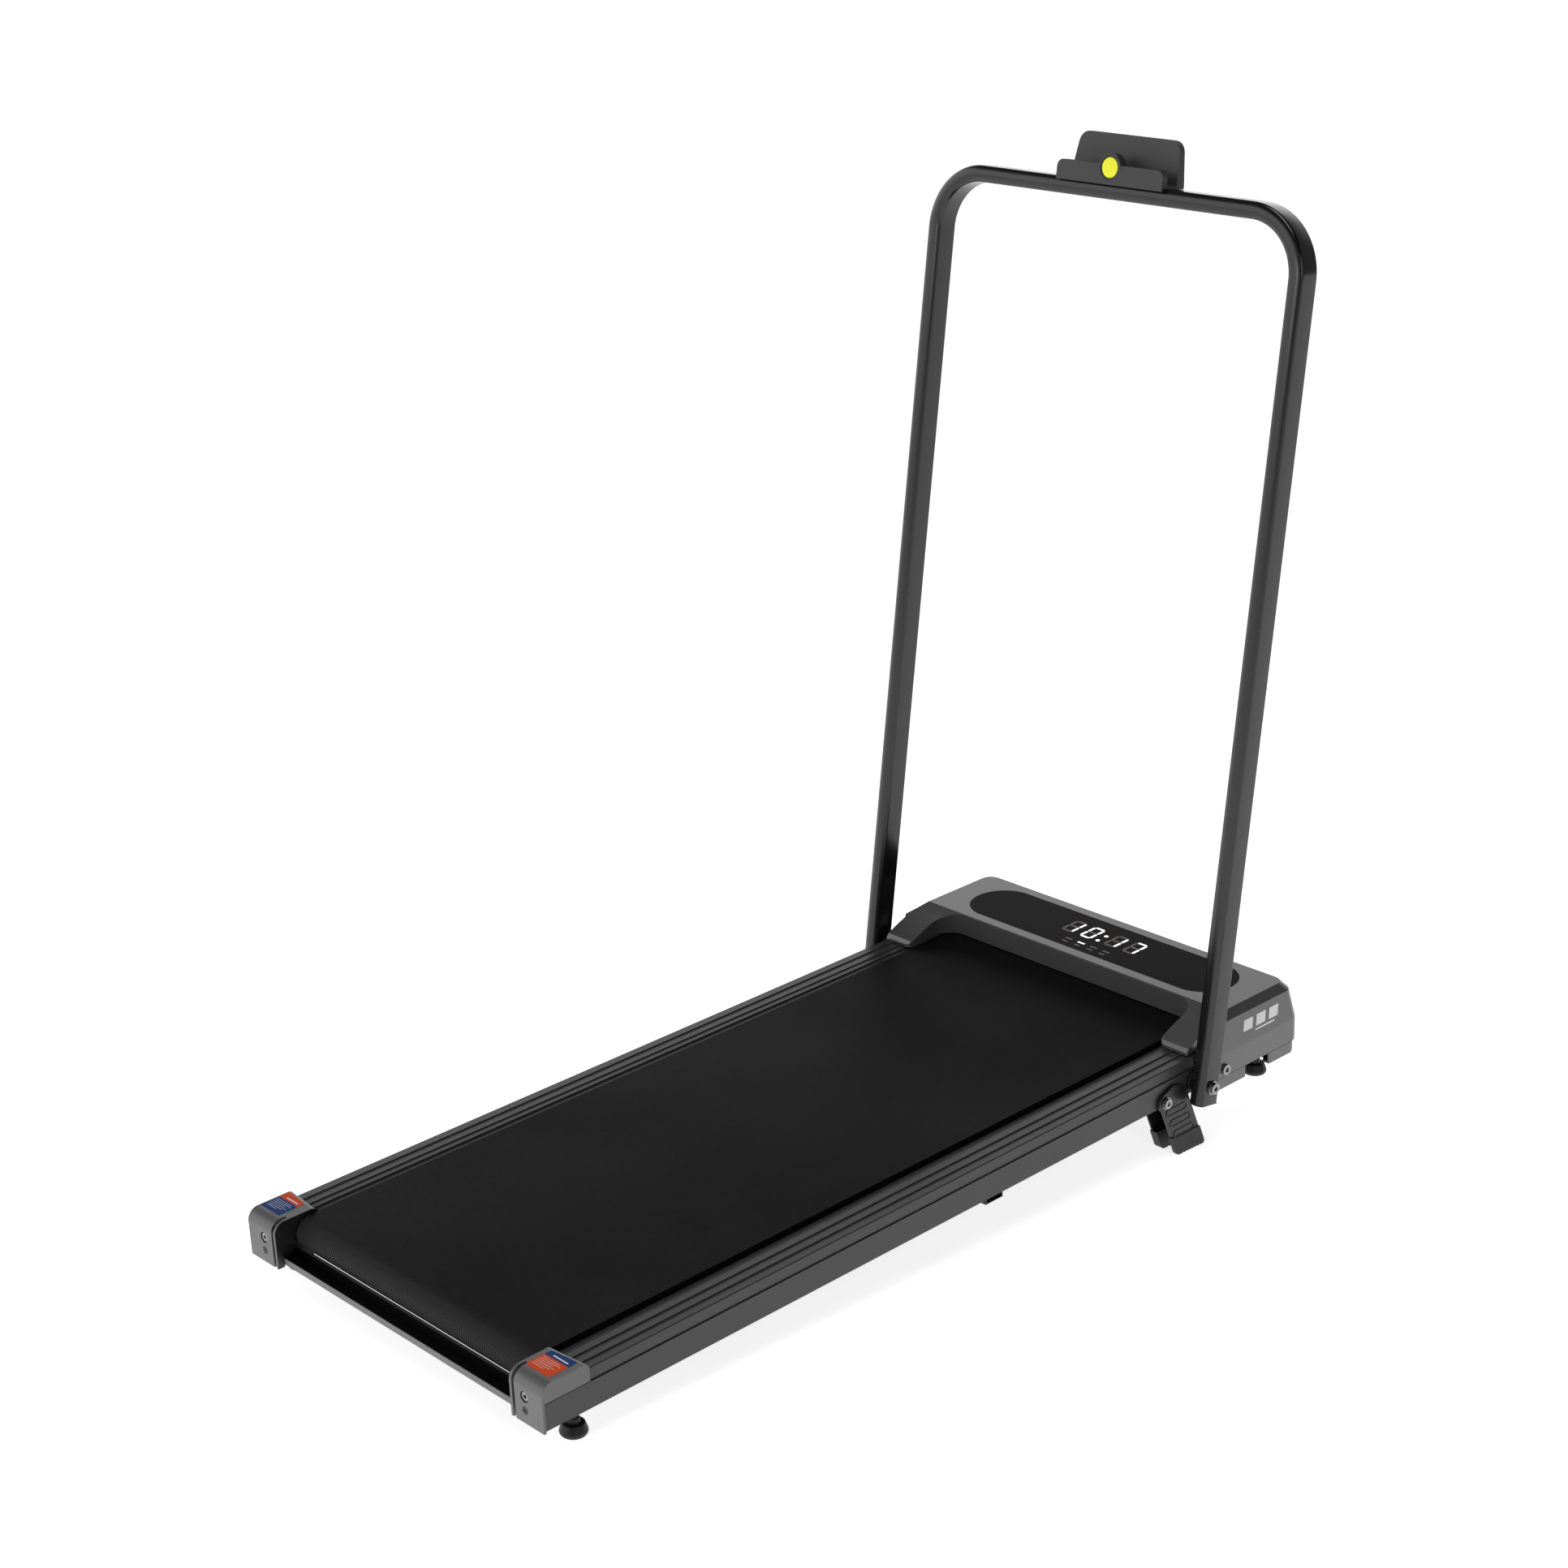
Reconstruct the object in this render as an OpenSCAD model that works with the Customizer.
// Walking-pad treadmill with a folding handrail.
// The deck is described level, in its own axes: X across the belt, Y from the rear
// end towards the console, Z up, with Z = 0 at the underside of the side rails and
// Y = 0 at the rear face of the end caps. on_incline() then stands it on the floor
// with its two incline legs down, centred on the origin.

/* [Deck] */
// Overall width across the two side rails
deck_w = 510; // [490:1:530]
// Height of a side rail
rail_h = 44.8; // [43:0.2:46]
// Width of the running belt
belt_w = 404; // [396:1:405]
// Thickness of the running belt
belt_t = 1.8; // [1.2:0.1:2.2]
// Radius of both belt rollers
roller_r = 18; // [16:0.5:18]
// Distance from the end caps to the rear roller axle
rear_axle_y = 45; // [44:1:48]
// Distance from the end caps to the front roller axle
front_axle_y = 1078; // [1060:1:1080]
// Angle of the deck on its incline legs
incline = 2.4; // [1.5:0.1:3]

/* [Console] */
// Height of the flat console top above the rail underside
console_top = 77.8; // [76:0.2:80]
// Foremost point of the console
console_front = 1178; // [1170:1:1185]
// Half width of the console at its side ridge
ridge_x = 260.4; // [259:0.2:262]
// Height of the side ridge
ridge_z = 31.5; // [28:0.5:36]
// Height of the seam between cover and belly pan
seam_z = 2; // [0:0.5:4]
// Lowest face of the belly pan
pan_z = -14; // [-16:0.5:-10]

/* [Handrail] */
// Half width over the outside of the handrail
hr_half = 284.5; // [283:0.5:288]
// Width of the handrail tube, seen from the user
tube_t = 20; // [18:0.5:20]
// Depth of the flat sides of the tube
tube_d = 26; // [24:0.5:28]
// Bulge of the rounded face of the tube
tube_dome = 4.5; // [3:0.5:6]
// Wall of the tube
tube_wall = 1.6; // [1.2:0.1:2]
// Length of the handrail along its lean
hr_len = 1039.5; // [1000:0.5:1060]
// Centre-line radius of its two top bends
bend_r = 70; // [60:1:80]
// Forward lean of the handrail from the deck normal
hr_lean = 9.25; // [7:0.25:11]

/* [Legs and feet] */
// Height of the deck underside above the bottom of a levelling foot
foot_h = 32; // [29:0.5:35]
// Forward lean of an incline leg from the deck normal
leg_lean = 21.5; // [20:0.5:23]
// Width of an incline leg
leg_w = 46; // [44:1:48]

/* [Hidden] */
$fn = 48;

half_w = deck_w / 2;
eps = 0.01;
fit = 0.05;            // radial clearance of a running fit
slack = 0.3;           // gap between parts that move past each other

// side rail section
wall = 2.5;
shoulder_z = 29.9;     // top of the lower side face
groove_h = 1.3;        // dark groove above the shoulder
setback = 1.5;         // upper side face behind the lower one
rail_in = 217.4;       // inner edge of the ribbed top
lip_in = 205.7;        // inner edge of the lower lip
lip_z = 42.6;
ledge_in = 188;        // inner edge of the ledge that carries the board
ledge_z = 31;
rib_x = [226.7, 240.3];
rib_w = 2;
rib_h = 1.4;
rail_y0 = 3.5;
rail_y1 = 1150;
bay_y = 1044;          // start of the motor bay
cap_y = 62;            // length of an end cap

// belt loop
belt_in_r = roller_r;
belt_out_r = roller_r + belt_t;
belt_z = 48.6;         // top of the running surface
axle_z = belt_z - belt_out_r;
axle_r = 7;
board_z1 = belt_z - belt_t;
board_t = 12;
roller_half = 199;
roller_skin = 3;
bearing_r = 12;
bearing_w = 8;
adjuster_x = 227;
adjuster_r = 3;

// drive
pulley_r = 28;
pulley_x = 204.5;
pulley_w = 13;
motor_y = 1133;
motor_z = 35;
motor_r = 30;
motor_x = [62, 188];
shaft_r = 5;
small_r = 9;
strap_t = 2;

// end caps
cap_in = 204;
cap_top = 52.5;
cap_bottom = -2;
cap_out = half_w + 0.6;
cap_round = 14;
front_round = 7;
flange_t = 3.5;
slot_x = 211.5;        // outer edge of the slot beside the inner flange

// handrail frame: origin at the foot of the tube, on the edge of its flat side
hr_y = 966;
hr_z = -3.5;
hr_centre = hr_half - tube_t / 2;
pivot_u = 21;
pivot_v = 13;
pivot_r = 4;
holder_half = 80;
button_u = 1056;
button_r = 11.9;
lip_face = 8;          // front face of the holder's lip

// incline legs
leg_y = 929;
leg_z = 6.3;
leg_x = [229, 259.5];  // outside faces of the two side plates
plate_t = 2.5;
leg_bolt_r = 4;

// feet
foot_x = 238;
foot_y = [49, 1119];
stud_r = 5;
pad_r = 15;

// console
corner_r = 15;         // plan corners of the console
front_top = 1166.5;    // front edge of the flat top
front_bevel = 1173;
inlet_z = 16.5;
inlet_rim = 1.6;
pin_r = 1.2;
cover_bolt = [1035, 11.5];
pan_screw_y = [1062, 1142];
wing_y = 977;          // tip of the two wings
wing_top = 57;
wing_low = 50;
wing_in = 207;         // inner face of a wing
tip_r = 8;
bay_face = 1048;       // face of the console above the belt
bay_corner = 27;
side_start = 1016;     // rear end of the console's full width
bevel_x = 254;
bevel_z = 68.4;
top_x = 245;
cover_t = 2.6;
window_y = 1108.2;
window_r = 44.3;
window_half = 165.5;
window_t = 2;

// where the treadmill stands
front_reach = (console_front + inlet_rim - foot_y[0]) * cos(incline)
    - (inlet_z - 12 + foot_h) * sin(incline);
rear_reach = (cap_round - foot_y[0]) * cos(incline)
    - (cap_top - cap_round + foot_h) * sin(incline) - cap_round;
centre_y = (front_reach + rear_reach) / 2;

// ---------- placing ----------

module on_incline() {
    translate([0, -centre_y, 0])
        rotate([incline, 0, 0])
            translate([0, -foot_y[0], foot_h])
                children();
}

module side(s) {
    if (s > 0) children();
    else mirror([1, 0, 0]) children();
}

module both() {
    children();
    mirror([1, 0, 0]) children();
}

// a cylinder along X at (y, z)
module bar_x(r, x0, x1, y, z, fn = 48) {
    translate([x0, y, z]) rotate([0, 90, 0]) cylinder(r = r, h = x1 - x0, $fn = fn);
}

// a cylinder along Y at (x, z)
module bar_y(r, y0, y1, x, z, fn = 48) {
    translate([x, y0, z]) rotate([-90, 0, 0]) cylinder(r = r, h = y1 - y0, $fn = fn);
}

// a box from its two corners
module box(a, b) {
    translate(a) cube([b[0] - a[0], b[1] - a[1], b[2] - a[2]]);
}

// an outline in (x, z) drawn out along Y
module along_y(y0, y1) {
    translate([0, y1, 0]) rotate([90, 0, 0]) linear_extrude(y1 - y0) children();
}

// an outline in (y, z) drawn out along X
module along_x(x0, x1) {
    translate([x0, 0, 0]) rotate([90, 0, 90]) linear_extrude(x1 - x0) children();
}

module hex_head(r, h) {
    difference() {
        cylinder(r = r, h = h);
        translate([0, 0, h / 2]) cylinder(r = r * 0.5, h = h, $fn = 6);
    }
}

// a screw with its head towards +Z
module screw(r, len, head_r, head_h) {
    translate([0, 0, -len]) cylinder(r = r, h = len + eps);
    hex_head(head_r, head_h);
}

// ---------- side rails ----------

module rail_section() {
    y = [rail_y0, rail_y1];
    x = half_w - setback;
    box([half_w - wall, y[0], 0], [half_w, y[1], shoulder_z]);
    box([x - wall, y[0], 0], [half_w - wall + 0.1, y[1], rail_h - 2]);
    box([x - wall, y[0], shoulder_z + groove_h], [x, y[1], rail_h - 1]);
    box([rail_in, y[0], 0], [rail_in + wall, y[1], rail_h - 1]);
    along_y(y[0], y[1])
        polygon([[rail_in, rail_h - wall], [rail_in, rail_h], [x - 1, rail_h],
            [x, rail_h - 1], [x, rail_h - wall]]);
    for (r = rib_x) box([r - rib_w / 2, y[0], rail_h - 1], [r + rib_w / 2, y[1], rail_h + rib_h]);
    box([lip_in, y[0], lip_z - 3], [rail_in + 1, y[1], lip_z]);
    box([ledge_in, y[0], ledge_z - wall], [rail_in + 1, y[1], ledge_z]);
}

module side_rail(s) {
    color("#565656") side(s) difference() {
        rail_section();
        // the lip and ledge stop short of the end cap and of the motor bay
        box([ledge_in - 1, 0, 20], [rail_in, cap_y + 1, 44]);
        box([ledge_in - 1, bay_y, -1], [half_w - 20, rail_y1 + 1, 50]);
        // bolt holes for the handrail, the leg and the console
        bar_x(pivot_r, half_w - 5, half_w + 1, pivot_y, pivot_z);
        bar_x(leg_bolt_r, half_w - 5, half_w + 1, leg_y, leg_z);
        bar_x(4, half_w - 5, half_w + 1, cover_bolt[0], cover_bolt[1]);
        // notch that the roller axle slides in
        box([rail_in - 1, 0, axle_z - axle_r - 1], [rail_in + wall + 1, 56, axle_z + axle_r + 1]);
    }
}

module right_rail() { side_rail(1); }
module left_rail() { side_rail(-1); }

// ---------- frame ----------

module rear_cross_member() {
    x = rail_in;
    color("#8a8a8a") along_x(-x, x)
        polygon([[9, 0], [31, 0], [31, 14.3], [29, 14.3], [29, 2], [11, 2], [11, 8], [9, 8]]);
}

module middle_cross_member() {
    color("#2c2c2c") difference() {
        box([-half_w + 2, 629, -8], [half_w - 2, 657, 0]);
        box([-half_w + 1, 631, -6], [half_w - 1, 655, 1]);
    }
}

module motor_base_plate() {
    x = half_w - wall - setback;
    color("#3a3a3a") difference() {
        union() {
            both() for (y = pan_screw_y) translate([150, y, pan_z + 2.4]) cylinder(r = 5, h = -pan_z - 2.4 + eps);
            box([-x, 1052, 0], [x, 1150, 2]);
            box([-x, 1052, 0], [-x + 2, 1150, 14]);
            box([x - 2, 1052, 0], [x, 1150, 14]);
        }
        // room for the drive pulley
        box([pulley_x - 3, 1040, -1], [pulley_x + pulley_w + 3, 1114, 3]);
        both() translate([foot_x, foot_y[1], -1]) cylinder(r = stud_r + slack, h = 4);
        both() for (y = pan_screw_y) translate([150, y, pan_z]) cylinder(r = 2, h = 20);
    }
}

module deck_board() {
    color("#b89a70") box([-belt_w / 2 + 1, 72, board_z1 - board_t], [belt_w / 2 - 1, 1050, board_z1]);
}

module deck_cushions() {
    z0 = ledge_z;
    color("#202020") both() for (y = [120, 380, 640, 900])
        box([190, y, z0], [200, y + 60, board_z1 - board_t]);
}

module loop(r) {
    translate([rear_axle_y, axle_z]) circle(r = r, $fn = 96);
    translate([front_axle_y, axle_z]) circle(r = r, $fn = 96);
    translate([rear_axle_y, axle_z - r]) square([front_axle_y - rear_axle_y, 2 * r]);
}

module running_belt() {
    color("#141414") along_x(-belt_w / 2, belt_w / 2) difference() {
        loop(belt_out_r);
        loop(belt_in_r);
    }
}

// ---------- end caps ----------

module cap_outline() {
    polygon([[cap_round, cap_bottom], [0, cap_bottom], [0, cap_top - cap_round],
        for (a = [180:-7.5:90]) [cap_round + cap_round * cos(a), cap_top - cap_round + cap_round * sin(a)],
        [cap_y, cap_top], [cap_y, cap_bottom]]);
}

module end_cap(s) {
    roof = rail_h + rib_h + 0.4;
    inner = half_w - setback + slack;
    color("#9a9a9a") side(s) difference() {
        along_x(cap_in, cap_out) cap_outline();
        // hollow for the rail
        box([slot_x, 3, cap_bottom - 1], [inner, cap_y + 1, roof]);
        box([inner - 1, 3, cap_bottom - 1], [cap_out + 1, cap_y + 1, shoulder_z + groove_h]);
        // slot between the body and its inner flange, open at the rear
        box([cap_in + flange_t, -1, cap_bottom - 1], [slot_x, 20, cap_top + 1]);
        box([cap_in + flange_t, 19, cap_bottom - 1], [slot_x + 1, cap_y + 1, roof]);
        // axle slot in the flange
        box([cap_in - 1, rear_axle_y - axle_r - 3, axle_z - axle_r - 0.5],
            [cap_in + flange_t + 1, rear_axle_y + axle_r + 3, axle_z + axle_r + 0.5]);
        // way round the rear cross member
        box([cap_in - 1, 8.7, cap_bottom - 1], [slot_x + 1, 33.3, 14.6]);
        // adjuster and screw holes
        bar_y(6.2, -1, 4, adjuster_x, axle_z);
        bar_y(4.4, -1, 1.2, adjuster_x, 13.3);
        bar_y(2.2, -1, 4, adjuster_x, 13.3);
        // slanted front edge
        translate([cap_in, cap_y - 6, 0]) rotate([0, 0, 5.5]) {
            box([-5, 0, -5], [65, 20, 65]);
            difference() {
                box([-5, -front_round, cap_top - front_round], [65, 1, cap_top + 1]);
                bar_x(front_round, -6, 66, -front_round, cap_top - front_round, 96);
            }
        }
    }
}

module right_end_cap() { end_cap(1); }
module left_end_cap() { end_cap(-1); }

module end_cap_screws() {
    color("#151515") both() translate([adjuster_x, 1.2, 13.3]) rotate([90, 0, 0]) screw(2, 9, 3.8, 1);
}

module adjuster_plates() {
    color("#6b6b6b") both() difference() {
        box([rail_in + wall, 7, 9], [half_w - wall - setback, 10, 40]);
        bar_y(adjuster_r + slack, 6, 11, adjuster_x, axle_z);
        bar_y(2 + 0.1, 6, 11, adjuster_x, 13.3);
    }
}

module tension_bolt(s) {
    color("#c8c8c8") side(s) translate([adjuster_x, 6.7, axle_z]) rotate([90, 0, 0])
        screw(adjuster_r, 46, 5, 5.6);
}

module right_tension_bolt() { tension_bolt(1); }
module left_tension_bolt() { tension_bolt(-1); }

// ---------- rollers and drive ----------

module roller(y) {
    difference() {
        bar_x(roller_r - slack, -roller_half, roller_half, y, axle_z, 64);
        bar_x(roller_r - roller_skin - slack, -roller_half + 12, roller_half - 12, y, axle_z);
        bar_x(axle_r + 1, -roller_half - 1, roller_half + 1, y, axle_z);
        both() bar_x(bearing_r + 0.02, roller_half - bearing_w, roller_half + 1, y, axle_z);
    }
}

module roller_bearings(y) {
    color("#b5b5b5") both() difference() {
        bar_x(bearing_r, roller_half - bearing_w, roller_half, y, axle_z);
        bar_x(axle_r + fit, roller_half - bearing_w - 1, roller_half + 1, y, axle_z);
    }
}

module rear_axle() {
    color("#a8a8a8") difference() {
        bar_x(axle_r, -adjuster_x - 9, adjuster_x + 9, rear_axle_y, axle_z);
        both() bar_y(adjuster_r + fit, rear_axle_y - 10, rear_axle_y + 10, adjuster_x, axle_z);
    }
}

module rear_roller() { color("#2a2a2a") roller(rear_axle_y); }
module rear_roller_bearings() { roller_bearings(rear_axle_y); }
module front_roller() { color("#2a2a2a") roller(front_axle_y); }
module front_roller_bearings() { roller_bearings(front_axle_y); }

module front_axle() {
    color("#a8a8a8") bar_x(axle_r, -236, 236, front_axle_y, axle_z);
}

module axle_blocks() {
    color("#4a4a4a") both() difference() {
        box([222, front_axle_y - 13, 2], [234, front_axle_y + 13, axle_z + 10]);
        bar_x(axle_r, 221, 235, front_axle_y, axle_z);
    }
}

module roller_pulley() {
    color("#909090") difference() {
        union() {
            bar_x(pulley_r, pulley_x, pulley_x + pulley_w, front_axle_y, axle_z, 72);
            bar_x(bearing_r + 3, roller_half, pulley_x + eps, front_axle_y, axle_z);
        }
        bar_x(axle_r + fit, roller_half - 1, pulley_x + pulley_w + 1, front_axle_y, axle_z);
        for (i = [0:4])
            translate([pulley_x + 2.6 + i * 2, front_axle_y, axle_z]) rotate([0, 90, 0])
                rotate_extrude($fn = 72) translate([pulley_r - 0.8, -0.6]) square([2, 1.2]);
    }
}

// drive belt around both pulleys: two arcs and the two straight runs between them
module drive_belt() {
    d = [motor_y - front_axle_y, motor_z - axle_z];
    dist = norm(d);
    tilt = atan2(d[1], d[0]);
    r1 = pulley_r + slack;
    r2 = small_r + slack;
    a = acos((r1 - r2) / dist);
    run = dist * sin(a);
    w = pulley_w - 3;
    color("#101010") translate([pulley_x + 1.5, front_axle_y, axle_z]) rotate([90, 0, 90]) rotate([0, 0, tilt]) {
        rotate([0, 0, a]) rotate_extrude(angle = 360 - 2 * a, $fn = 96) translate([r1, 0]) square([strap_t, w]);
        translate([dist, 0, 0]) rotate([0, 0, -a]) rotate_extrude(angle = 2 * a, $fn = 96)
            translate([r2, 0]) square([strap_t, w]);
        rotate([0, 0, a]) translate([r1, -run, 0]) cube([strap_t, run, w]);
        rotate([0, 0, -a]) translate([r1, 0, 0]) cube([strap_t, run, w]);
    }
}

module motor_housing() {
    color("#303030") difference() {
        bar_x(motor_r, motor_x[0], motor_x[1], motor_y, motor_z, 64);
        bar_x(motor_r - 7, motor_x[0] + 8, motor_x[1] - 8, motor_y, motor_z);
        bar_x(shaft_r + fit, motor_x[0] - 1, motor_x[1] + 1, motor_y, motor_z);
    }
}

module motor_cradle() {
    x0 = motor_x[0] + 18;
    x1 = motor_x[1] - 18;
    color("#5a5a5a") for (x = [x0, x1 - 12]) difference() {
        box([x, motor_y - 16, 2], [x + 12, motor_y + 16, motor_z - 10]);
        bar_x(motor_r, x - 1, x + 13, motor_y, motor_z, 64);
    }
}

module motor_rotor() {
    color("#8c6a4a") union() {
        bar_x(shaft_r, motor_x[0] - 12, pulley_x + pulley_w, motor_y, motor_z);
        bar_x(motor_r - 9, motor_x[0] + 12, motor_x[1] - 12, motor_y, motor_z);
        for (a = [0:45:315])
            translate([motor_x[0] - 10, motor_y, motor_z]) rotate([a, 0, 0])
                box([0, 0, -0.8], [7, 24, 0.8]);
        bar_x(8, motor_x[0] - 11, motor_x[0] - 2, motor_y, motor_z);
    }
}

module motor_pulley() {
    color("#909090") difference() {
        bar_x(small_r, pulley_x, pulley_x + pulley_w, motor_y, motor_z);
        bar_x(shaft_r, pulley_x - 1, pulley_x + pulley_w + 1, motor_y, motor_z);
    }
}

// ---------- electronics ----------

module control_board() {
    color("#1f5a34") union() {
        box([-180, 1106, 12], [-40, 1158, 13.6]);
        both_y = [1112, 1150];
        for (x = [-174, -48], y = both_y) box([x, y, 2], [x + 4, y + 4, 12]);
        for (i = [0:2]) translate([-160 + i * 22, 1118, 13.6]) cylinder(r = 8, h = 26);
        box([-90, 1112, 13.6], [-66, 1136, 30]);
        box([-62, 1112, 13.6], [-46, 1130, 22]);
    }
}

module heat_sink() {
    color("#a0a0a0") union() {
        box([-172, 1138, 13.6], [-70, 1156, 17]);
        for (i = [0:5]) box([-172, 1138 + i * 3.2, 17 - eps], [-70, 1139.6 + i * 3.2, 32]);
    }
}

module display_board() {
    color("#1f5a34") union() {
        box([-72, 1068, 66], [72, 1140, 67.6]);
        for (i = [0:3]) box([-60 + i * 31, 1097, 67.6], [-33 + i * 31, 1134, 73]);
        for (i = [0:3]) box([-38 + i * 21, 1078, 67.6], [-26 + i * 21, 1086, 73]);
    }
}

module pill(half, r) {
    for (s = [-1, 1]) translate([s * half, 0]) circle(r = r, $fn = 96);
    translate([-half, -r]) square([2 * half, 2 * r]);
}

module display_window() {
    color("#0c0c0c") translate([0, window_y, console_top - window_t])
        linear_extrude(window_t) pill(window_half, window_r - 0.15);
}

// ---------- console ----------

// outline of the console at one level, its corners in flats of 15 degrees
function console_ring(x, y, inset, z) = let (
    q = (corner_r - inset) / cos(7.5),
    arc = [for (a = [7.5:15:82.5]) [x - corner_r + q * cos(a), y - corner_r + q * sin(a), z]],
    n = len(arc)) concat(
        [[x - inset, -280, z]], arc,
        [for (i = [1:n]) [-arc[n - i][0], arc[n - i][1], z]],
        [[inset - x, -280, z]]);

// skirt, bevel and top of the console, one ring of points above the other
module console_block(inset, floor_z) {
    rings = [console_ring(ridge_x, 0, inset, floor_z), console_ring(ridge_x, 0, inset, ridge_z),
        console_ring(bevel_x, front_bevel - console_front, inset, bevel_z - inset * 0.3),
        console_ring(top_x, front_top - console_front, inset, console_top - inset)];
    n = len(rings[0]);
    translate([0, console_front, 0]) polyhedron(
        points = [for (r = rings) each r],
        faces = concat(
            [[for (i = [0:n - 1]) i]],
            [for (k = [0:2], i = [0:n - 1]) [k * n + i, (k + 1) * n + i, (k + 1) * n + (i + 1) % n,
                k * n + (i + 1) % n]],
            [[for (i = [1:n]) 4 * n - i]]));
}

// side view of the console, sloping down at the rear onto the rails
module console_side(inset) {
    polygon([[wing_y + inset, -60], [wing_y + inset, wing_low], [wing_y + 3 + inset, wing_top - 2.5 - inset * 0.6],
        [wing_y + 9, wing_top - inset], [wing_y + 23, wing_top + 6 - inset],
        [wing_y + 40, wing_top + 12 - inset], [wing_y + 59, wing_top + 16 - inset],
        [wing_y + 73, console_top + eps - inset], [console_front + 10, console_top + eps - inset],
        [console_front + 10, -60]]);
}

// the bay that the belt runs into, with round inner corners
module belt_bay(inset) {
    x = wing_in + inset;
    y = bay_face + inset;
    r = bay_corner;
    translate([0, 0, -20]) linear_extrude(120) union() {
        translate([-x, 900]) square([2 * x, y - r - 900]);
        translate([-x + r, y - r - 1]) square([2 * (x - r), r + 1]);
        for (s = [-1, 1]) translate([s * (x - r), y - r]) circle(r = r, $fn = 96);
    }
}

module console_shell(inset, floor_z) {
    wing_x = half_w - 5 - inset;
    difference() {
        intersection() {
            console_block(inset, floor_z);
            along_x(-ridge_x - 5, ridge_x + 5) console_side(inset);
        }
        belt_bay(inset);
        // round inner corners at the tips of the wings
        both() difference() {
            box([wing_in - 1, wing_y - 1, -60], [wing_in + tip_r, wing_y + tip_r, 100]);
            translate([wing_in + tip_r, wing_y + tip_r, -61]) cylinder(r = tip_r - inset, h = 170);
        }
        // behind the side covers only the narrower wings remain
        both() box([wing_x, wing_y - 10, -60], [ridge_x + 10, side_start + inset, 100]);
    }
}

module console_cover() {
    rail_roof = rail_h + rib_h + 0.4;
    color("#7c7c7c") difference() {
        console_shell(0, seam_z);
        console_shell(cover_t, seam_z - 1);
        // room for the rails and for the belt
        both() box([wing_in - 1, wing_y - 1, -5], [half_w + 0.4, bay_face + 10, rail_roof]);
        box([-wing_in - 1, side_start - 10, -20], [wing_in + 1, bay_face + 10, belt_z + 1.4]);
        // display pocket, and the opening below it for the digits
        translate([0, window_y, console_top - window_t]) linear_extrude(5) pill(window_half, window_r);
        box([-66, 1072, console_top - 6], [66, 1138, console_top]);
        // bolts at the sides, and the inlet and switch in the front
        both() bar_x(4.2, ridge_x - 6, ridge_x + 4, cover_bolt[0], cover_bolt[1]);
        box([-164, console_front - 6, inlet_z - 10], [-136, console_front + 1, inlet_z + 10]);
        box([-118, console_front - 6, inlet_z - 7], [-98, console_front + 1, inlet_z + 7]);
    }
}

module belly_pan() {
    x = ridge_x - 1.4;
    front = console_front - 2;
    r = 14;
    color("#5e5e5e") difference() {
        intersection() {
            along_x(-x, x) polygon([[side_start + 4, seam_z - 1.6], [side_start + 4, pan_z],
                for (a = [-90:10:0]) [front - r + r * cos(a), pan_z + r + r * sin(a)],
                [front, seam_z - 1.6]]);
            translate([0, 0, -30]) linear_extrude(60) union() {
                translate([-x, side_start]) square([2 * x, front - side_start - corner_r]);
                translate([-x + corner_r, front - corner_r - 1]) square([2 * (x - corner_r), corner_r + 1]);
                for (s = [-1, 1]) translate([s * (x - corner_r), front - corner_r]) circle(r = corner_r, $fn = 96);
            }
        }
        // inside
        box([-x + 2.4, side_start - 1, pan_z + 2.4], [x - 2.4, front - 2.4 - r, 5]);
        box([-x + 18, front - 4 - r, pan_z + 14], [x - 18, front - 2.4, 5]);
        // cut-outs around the front feet
        both() box([foot_x - 20, foot_y[1] - 43.5, pan_z - 1], [x + 1, foot_y[1] + 2, 5]);
        both() translate([foot_x, foot_y[1], pan_z - 1]) cylinder(r = 11, h = 20);
        both() for (y = pan_screw_y) translate([150, y, pan_z - 1]) cylinder(r = 2, h = 6);
    }
}

module cover_bolts() {
    color("#bdbdbd") both() translate([ridge_x, cover_bolt[0], cover_bolt[1]]) rotate([0, 90, 0])
        screw(4, 14, 6.8, 3.8);
}

module pan_screws() {
    color("#9a9a9a") both() for (y = pan_screw_y) translate([150, y, pan_z])
        rotate([180, 0, 0]) screw(2, 13, 4, 1.4);
}

module power_inlet() {
    y = console_front;
    z = inlet_z;
    color("#0e0e0e") difference() {
        union() {
            box([-163.8, y - 18, z - 9.8], [-136.2, y + eps, z + 9.8]);
            box([-166, y, z - 12], [-134, y + inlet_rim, z + 12]);
        }
        box([-162, y - 14, z - 8], [-138, y + 2, z + 8]);
    }
    color("#c9b25a") for (x = [-156, -150, -144]) box([x - 1, y - 15, z - 2.5], [x + 1, y - 4, z + 2.5]);
}

module switch_frame() {
    y = console_front;
    z = inlet_z;
    color("#101010") difference() {
        union() {
            box([-117.8, y - 16, z - 6.8], [-98.2, y + eps, z + 6.8]);
            box([-120, y, z - 9], [-96, y + inlet_rim, z + 9]);
        }
        box([-116, y - 12, z - 5.4], [-100, y + 2, z + 5.4]);
        translate([-108, y - 1.9, z - 6.7]) cylinder(r = pin_r + fit, h = 13.4);
    }
}

// the rocker turns about a pin along Z, behind its angled face
module rocker_switch() {
    color("#9c1f1f") union() {
        translate([-108, console_front - 4.4, inlet_z - 5]) linear_extrude(10)
            polygon([[-7, 2], [-3, 0.4], [3, 0.4], [7, 5], [5, 6], [0, 4.6], [-6, 5]]);
        translate([-108, console_front - 1.9, inlet_z - 6.6]) cylinder(r = pin_r, h = 13.2);
    }
}

// ---------- handrail ----------

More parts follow.
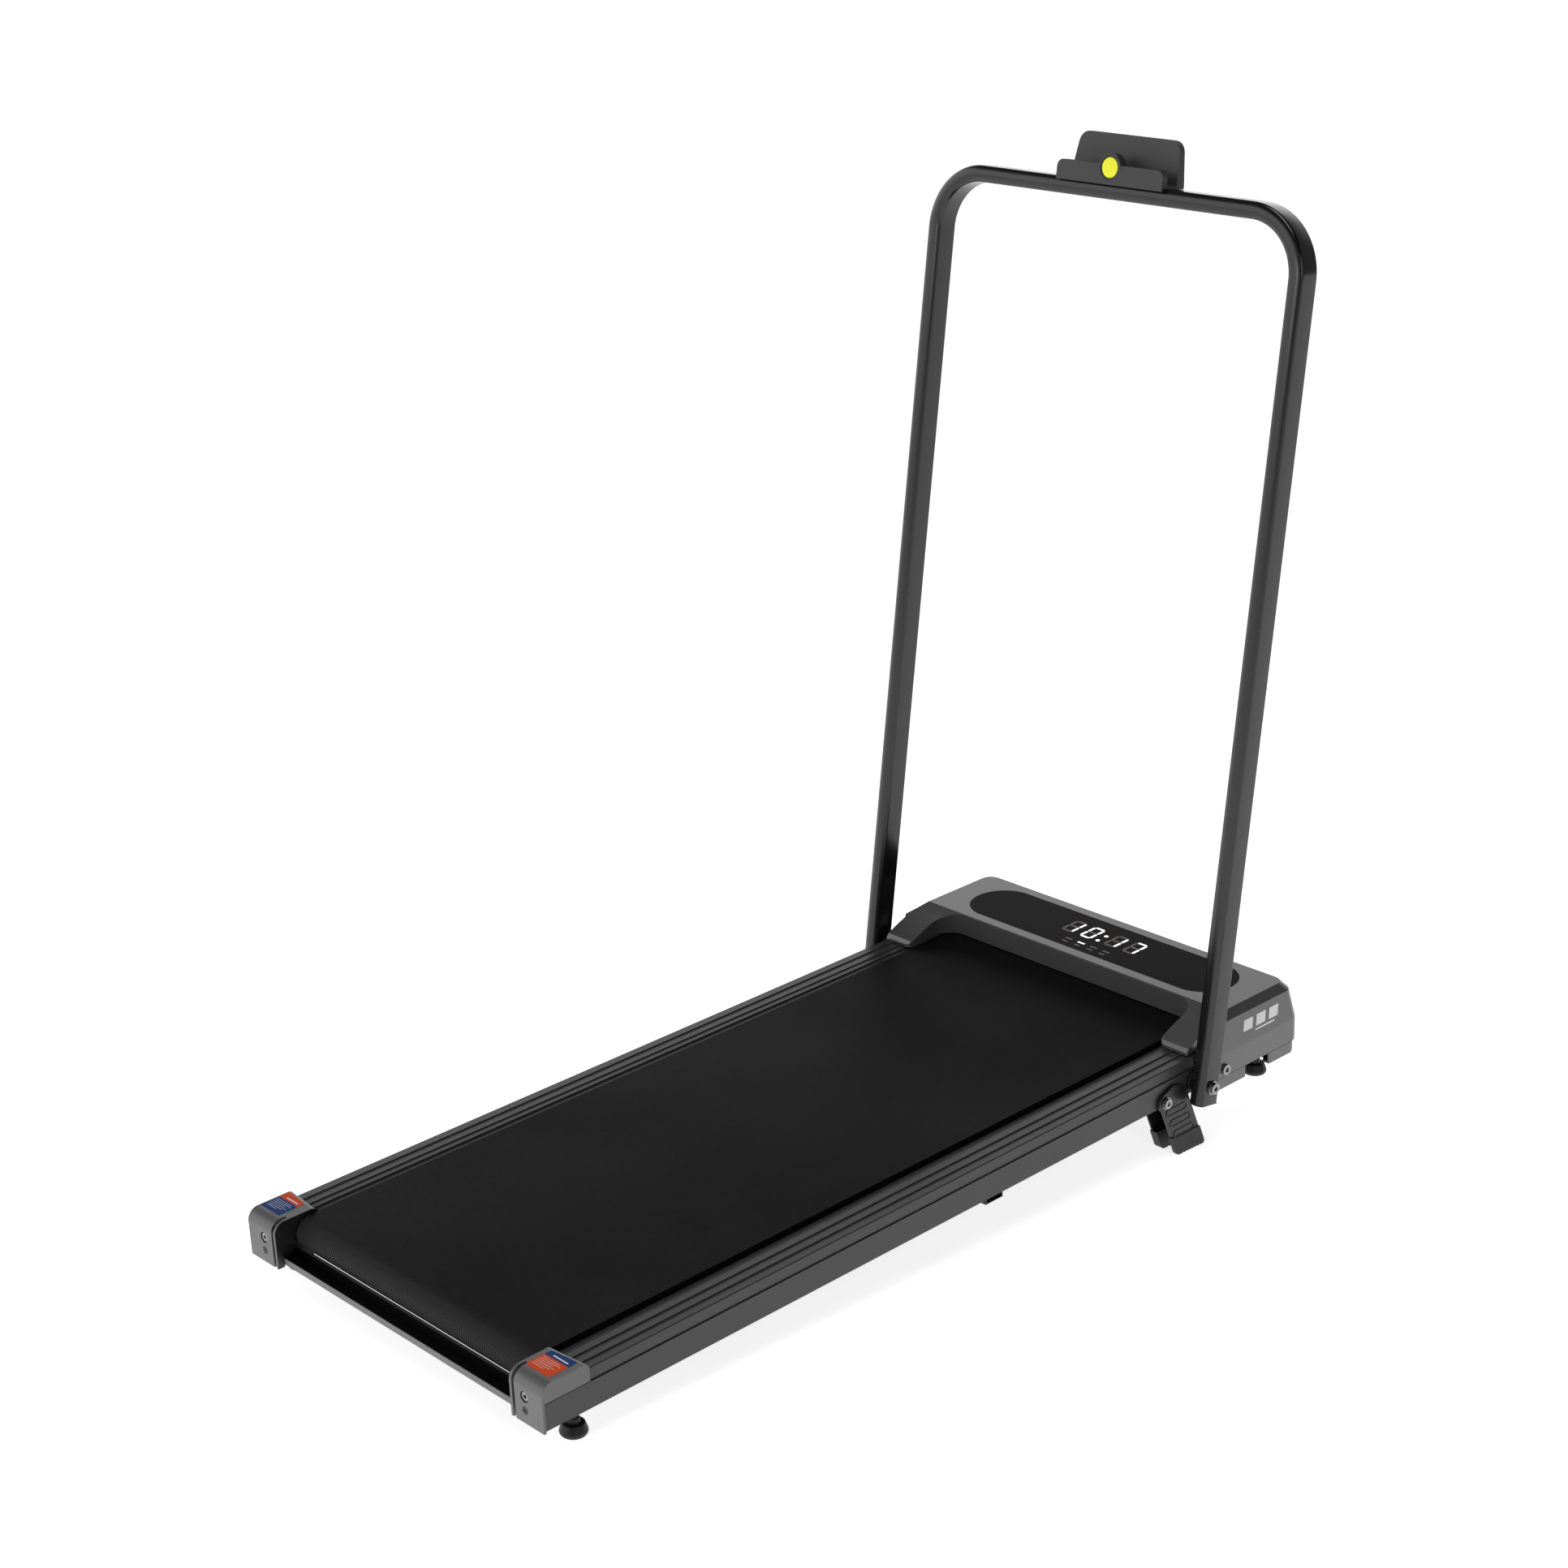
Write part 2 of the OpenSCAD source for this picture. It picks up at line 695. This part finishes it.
// places children in the handrail's plane: x across, y along the lean, z towards the user
module in_rail_plane() {
    translate([0, hr_y, hr_z]) rotate([-hr_lean, 0, 0]) rotate([90, 0, 0]) children();
}

// tube section, x across its width and y towards the user: the flat-sided part
module tube_flats(grow) {
    h = tube_t / 2 + grow;
    translate([-h, -tube_d - grow]) square([2 * h, tube_d + grow - 1]);
}

// and its rounded face
module tube_nose(grow) {
    r = (tube_t * tube_t / 4 + tube_dome * tube_dome) / (2 * tube_dome);
    h = tube_t / 2 + grow;
    intersection() {
        translate([0, tube_dome - r]) circle(r = r + grow, $fn = 128);
        translate([-h, -4]) square([2 * h, 20]);
    }
}

module tube_leg(start) {
    translate([hr_centre, hr_len - tube_t / 2 - bend_r, 0]) rotate([90, 0, 0])
        linear_extrude(hr_len - tube_t / 2 - bend_r - start) children();
}

module tube_bend() {
    translate([hr_centre - bend_r, hr_len - tube_t / 2 - bend_r, 0])
        rotate_extrude(angle = 90, $fn = 96) translate([bend_r, 0]) children();
}

module tube_top() {
    x = hr_centre - bend_r;
    translate([-x, hr_len - tube_t / 2, 0]) rotate([90, 0, 90]) linear_extrude(2 * x) children();
}

module tube_path(grow, start) {
    both() {
        tube_leg(start) tube_flats(grow);
        tube_leg(start) tube_nose(grow);
        tube_bend() tube_flats(grow);
        tube_bend() tube_nose(grow);
    }
    tube_top() tube_flats(grow);
    tube_top() tube_nose(grow);
}

module handrail() {
    color("#444444") in_rail_plane() difference() {
        tube_path(0, 0);
        tube_path(-tube_wall, -1);
        both() translate([hr_centre - 20, pivot_u, -pivot_v]) rotate([0, 90, 0])
            cylinder(r = 7, h = 40);
        for (x = [-50, 50]) translate([x, hr_len + 1, -pivot_v]) rotate([90, 0, 0]) cylinder(r = 2, h = 6);
    }
}

module pivot_sleeves() {
    color("#8c8c8c") in_rail_plane() both() difference() {
        translate([hr_centre - tube_t / 2, pivot_u, -pivot_v]) rotate([0, 90, 0])
            cylinder(r = 7, h = tube_t);
        translate([hr_centre - tube_t / 2 - 1, pivot_u, -pivot_v]) rotate([0, 90, 0])
            cylinder(r = pivot_r + fit, h = tube_t + 2);
    }
}

module tube_end_plugs() {
    fill = -tube_wall - 0.05;
    color("#1a1a1a") in_rail_plane() both() translate([hr_centre, 0, 0]) {
        translate([0, 8, 0]) rotate([90, 0, 0]) linear_extrude(9) tube_flats(fill);
        translate([0, 8, 0]) rotate([90, 0, 0]) linear_extrude(9) tube_nose(fill);
        rotate([90, 0, 0]) linear_extrude(1.4) tube_flats(-0.3);
        rotate([90, 0, 0]) linear_extrude(1.4) tube_nose(-0.3);
    }
}

// the plane point of the pivot in deck axes
pivot_y = hr_y + pivot_v * cos(hr_lean) + pivot_u * sin(hr_lean);
pivot_z = hr_z - pivot_v * sin(hr_lean) + pivot_u * cos(hr_lean);

module hinge_brackets() {
    x0 = half_w;
    x1 = x0 + 3;
    inner = hr_half - tube_t;
    stop_u = pivot_u + 22.5;
    color("#2b2b2b") both() difference() {
        union() {
            box([x0, pivot_y, 0.5], [x1, pivot_y + 29, 27]);
            box([x0, pivot_y + 8, 20], [x1, pivot_y + 29, 47]);
            bar_x(12, x0, x1, pivot_y, pivot_z);
            bar_x(11, x1 - eps, inner - slack, pivot_y, pivot_z);
            // stop that the back of the tube leans against
            in_rail_plane() box([x1 - eps, stop_u, -tube_d - 7], [inner + 9, stop_u + 9, -tube_d - slack]);
        }
        bar_x(pivot_r, x0 - 1, inner + 1, pivot_y, pivot_z);
    }
}

module pivot_bolts() {
    color("#bdbdbd") both() {
        bar_x(pivot_r, half_w - 11, hr_half + 1, pivot_y, pivot_z);
        bar_x(7, half_w - 9.5, half_w - wall - setback, pivot_y, pivot_z, 6);
        bar_x(8.5, hr_half + slack, hr_half + 1.6, pivot_y, pivot_z);
        translate([hr_half + 1.6 - eps, pivot_y, pivot_z]) rotate([0, 90, 0]) hex_head(6.8, 4.2);
    }
}

// ---------- phone holder ----------

module lip_outline() {
    r = 9;
    bottom = hr_len - 3;
    top = hr_len + 20;
    for (s = [-1, 1]) translate([s * (holder_half - r), top - r]) circle(r = r);
    translate([-holder_half, bottom]) square([2 * holder_half, top - bottom - r]);
    translate([-holder_half + r, top - r - 1]) square([2 * (holder_half - r), r + 1]);
    translate([0, button_u]) circle(r = 15.8, $fn = 96);
}

module back_outline() {
    r = 14;
    top = hr_len + 53.5;
    hull() {
        for (s = [-1, 1]) translate([s * (76 - r), top - r]) circle(r = r, $fn = 64);
        translate([-holder_half, hr_len + eps]) square([2 * holder_half, 4]);
    }
}

module phone_holder() {
    color("#3d3d3d") in_rail_plane() difference() {
        union() {
            translate([0, 0, lip_face - 8.5]) linear_extrude(8.5) lip_outline();
            translate([0, button_u, -3]) cylinder(r = 16.3, h = lip_face + 3.3, $fn = 96);
            box([-holder_half, hr_len, -31], [holder_half, hr_len + 3.5, lip_face - 3]);
            // back rest: an upright plate, thicker towards its foot
            intersection() {
                translate([0, 0, -40]) linear_extrude(40) back_outline();
                along_x(-holder_half, holder_half)
                    polygon([[hr_len, -31], [hr_len, -17.5], [hr_len + 60, -24.2], [hr_len + 60, -31]]);
            }
        }
        translate([0, button_u, -0.5]) cylinder(r = 14.05, h = 20, $fn = 96);
        // room for the bulge of the tube behind the lip
        box([-holder_half - 1, hr_len - 20, -6], [holder_half + 1, hr_len, tube_dome + 0.05]);
        for (x = [-50, 50]) translate([x, hr_len + 4, -pivot_v]) rotate([90, 0, 0]) cylinder(r = 2.1, h = 6);
    }
}

module holder_screws() {
    color("#8c8c8c") in_rail_plane() for (x = [-50, 50])
        translate([x, hr_len + 3.5, -pivot_v]) rotate([-90, 0, 0]) screw(2, 8, 3.6, 1.8);
}

module button_bezel() {
    color("#111111") in_rail_plane() translate([0, button_u, -0.5]) difference() {
        cylinder(r = 14, h = lip_face + 0.5, $fn = 96);
        translate([0, 0, 1]) cylinder(r = button_r + 0.3, h = 20, $fn = 64);
    }
}

module start_button() {
    color("#f0f000") in_rail_plane() translate([0, button_u, 4]) union() {
        cylinder(r = button_r, h = lip_face - 4.4, $fn = 64);
    }
}

// ---------- incline legs ----------

// places children at the leg's pivot: y across the plate, z up the leg
module at_leg() {
    translate([0, leg_y, leg_z]) rotate([leg_lean, 0, 0]) children();
}

// drop from the pivot to the floor, measured square to the floor
leg_drop = (leg_y - foot_y[0]) * sin(incline) + (leg_z + foot_h) * cos(incline);
sole_h = 25.5;
plate_end = leg_drop - sole_h + 6;
w0 = -10;              // rear edge of a plate
w1 = leg_w - 10;       // front edge

// a side plate of the leg, from x0 to x1; its lower edge is level with the floor
module leg_plate(x0, x1) {
    bar_x(12, x0, x1, 0, 0);
    difference() {
        along_x(x0, x1) polygon([[w0, -90], [w0, 7], [w0 + 2, 10], [2, 11.8], [20, 11], [w1 - 5, 2], [w1, -7], [w1, -90]]);
        below_level(plate_end);
    }
}

// everything lower than a drop below the pivot, measured square to the floor
module below_level(drop) {
    rotate([-leg_lean - incline, 0, 0]) box([150, -200, -drop - 150], [350, 200, -drop]);
}

module leg(s) {
    web_top = -21.4;   // meets the rail's underside, which stops the leg
    color("#3c3c3c") side(s) at_leg() difference() {
        union() {
            leg_plate(leg_x[1] - plate_t, leg_x[1]);
            leg_plate(leg_x[0], leg_x[0] + plate_t);
            difference() {
                box([leg_x[0], w1 - plate_t, -90], [leg_x[1], w1, web_top]);
                below_level(plate_end);
            }
            // capsule shapes pressed into the outer plate
            rotate([-leg_lean, 0, 0]) for (i = [0:2])
                translate([leg_x[1] - 1, 18.5 + i * 6.8, -15.3 - i * 15.9]) rotate([90, 0, 90])
                    difference() {
                        linear_extrude(1.8) pill(13.8, 4.7);
                        translate([0, 0, 0.2]) linear_extrude(3) pill(13.8, 3.5);
                    }
        }
        bar_x(leg_bolt_r + fit, leg_x[0] - 1, leg_x[1] + 1, 0, 0);
    }
}

module right_leg() { leg(1); }
module left_leg() { leg(-1); }

// one corner of the pad, rounded from one direction to the other
function corner_arc(c, r, a0, a1) = [for (i = [0:6]) [c[0] + r * cos(a0 + (a1 - a0) * i / 6),
    c[1] + r * sin(a0 + (a1 - a0) * i / 6)]];

module leg_pad(s) {
    grip = 1.5;
    tilt = leg_lean + incline;
    y0 = (w0 - 0.8) / cos(tilt) + leg_drop * tan(tilt);
    y1 = (w1 + 0.8) / cos(tilt) + leg_drop * tan(tilt);
    rise = sole_h * tan(tilt);
    color("#101010") side(s) at_leg() difference() {
        rotate([-tilt, 0, 0]) along_x(leg_x[0] - grip, leg_x[1] + grip) polygon(concat(
            corner_arc([y0 + 8 / tan(45 + tilt / 2), 8 - leg_drop], 8, 180 + tilt, 270),
            corner_arc([y1 - 3.5 / tan(45 - tilt / 2), 3.5 - leg_drop], 3.5, 270, 360 + tilt),
            [[y1 - rise, sole_h - leg_drop], [y0 - rise, sole_h - leg_drop]]));
        // gap between its two shoes, for the wall of the rail when the leg is folded
        box([leg_x[0] + 9, w0 - 6, -130], [half_w + 1, w1 - 6, 0]);
        // notches across the sole
        rotate([-tilt, 0, 0]) for (i = [0:6])
            box([leg_x[0] - 9, y0 + 11 + i * 5, -leg_drop - 1], [leg_x[1] + 9, y0 + 13 + i * 5, 1.2 - leg_drop]);
        // clear of the lowest capsule on the outer plate
        rotate([-leg_lean, 0, 0]) translate([leg_x[1], 32.1, -47.1]) rotate([90, 0, 90])
            linear_extrude(4) pill(13.8, 5.1);
        // pockets that hold the two plates and the web
        difference() {
            union() {
                box([leg_x[1] - plate_t, w0, -90], [leg_x[1], w1, 0]);
                box([leg_x[0], w0, -90], [leg_x[0] + plate_t, w1, 0]);
                box([leg_x[0], w1 - plate_t, -90], [leg_x[1], w1, 0]);
            }
            below_level(plate_end);
        }
    }
}

module right_leg_pad() { leg_pad(1); }
module left_leg_pad() { leg_pad(-1); }

module leg_bolts() {
    color("#bdbdbd") both() {
        bar_x(leg_bolt_r, leg_x[0] - 5, leg_x[1] + 0.6, leg_y, leg_z);
        bar_x(6.6, leg_x[0] - 4.6, leg_x[0] - slack, leg_y, leg_z, 6);
        bar_x(7, half_w, leg_x[1] - plate_t - slack, leg_y, leg_z);
        bar_x(7.5, leg_x[1] + slack, leg_x[1] + 1.2, leg_y, leg_z);
        translate([leg_x[1] + 1.2 - eps, leg_y, leg_z]) rotate([0, 90, 0]) hex_head(6.2, 3);
    }
}

// ---------- levelling feet ----------

module rear_foot_plates() {
    color("#6b6b6b") both() difference() {
        box([rail_in + wall, 36, 0], [half_w - wall - setback, 64, 3]);
        translate([foot_x, foot_y[0], -1]) cylinder(r = stud_r + slack, h = 5);
    }
}

module foot_nuts() {
    color("#a8a8a8") both() for (y = foot_y) translate([foot_x, y, -7]) difference() {
        cylinder(r = 9.2, h = 7, $fn = 6);
        translate([0, 0, -1]) cylinder(r = stud_r + fit, h = 9);
    }
}

module foot(s, i) {
    neck = -foot_h + 20;
    color("#0f0f0f") side(s) translate([foot_x, foot_y[i], 0]) {
        translate([0, 0, neck - 2]) cylinder(r = stud_r, h = 18 - neck);
        // the rubber pad swivels on the stud, so it stands flat on the floor
        translate([0, 0, -foot_h]) rotate([-incline, 0, 0]) rotate_extrude()
            polygon([[0, 0], [pad_r - 4, 0], [pad_r - 1.8, 1], [pad_r - 0.4, 3], [pad_r, 5], [pad_r - 0.5, 7.2],
                [pad_r - 3.2, 14], [7.4, 14.6], [6.8, 15.4], [6.5, 20], [0, 20]]);
    }
}

module rear_right_foot() { foot(1, 0); }
module rear_left_foot() { foot(-1, 0); }
module front_right_foot() { foot(1, 1); }
module front_left_foot() { foot(-1, 1); }

// ---------- nodes ----------

on_incline() right_rail();
on_incline() left_rail();
on_incline() rear_cross_member();
on_incline() middle_cross_member();
on_incline() motor_base_plate();
on_incline() deck_board();
on_incline() deck_cushions();
on_incline() running_belt();
on_incline() right_end_cap();
on_incline() left_end_cap();
on_incline() end_cap_screws();
on_incline() adjuster_plates();
on_incline() right_tension_bolt();
on_incline() left_tension_bolt();
on_incline() rear_axle();
on_incline() rear_roller();
on_incline() rear_roller_bearings();
on_incline() front_axle();
on_incline() axle_blocks();
on_incline() front_roller();
on_incline() front_roller_bearings();
on_incline() roller_pulley();
on_incline() drive_belt();
on_incline() motor_housing();
on_incline() motor_cradle();
on_incline() motor_rotor();
on_incline() motor_pulley();
on_incline() control_board();
on_incline() heat_sink();
on_incline() display_board();
on_incline() display_window();
on_incline() console_cover();
on_incline() belly_pan();
on_incline() cover_bolts();
on_incline() pan_screws();
on_incline() power_inlet();
on_incline() switch_frame();
on_incline() rocker_switch();
on_incline() hinge_brackets();
on_incline() pivot_bolts();
on_incline() handrail();
on_incline() pivot_sleeves();
on_incline() tube_end_plugs();
on_incline() phone_holder();
on_incline() holder_screws();
on_incline() start_button();
on_incline() button_bezel();
on_incline() rear_foot_plates();
on_incline() foot_nuts();
on_incline() rear_right_foot();
on_incline() rear_left_foot();
on_incline() front_right_foot();
on_incline() front_left_foot();
on_incline() right_leg();
on_incline() left_leg();
on_incline() right_leg_pad();
on_incline() left_leg_pad();
on_incline() leg_bolts();
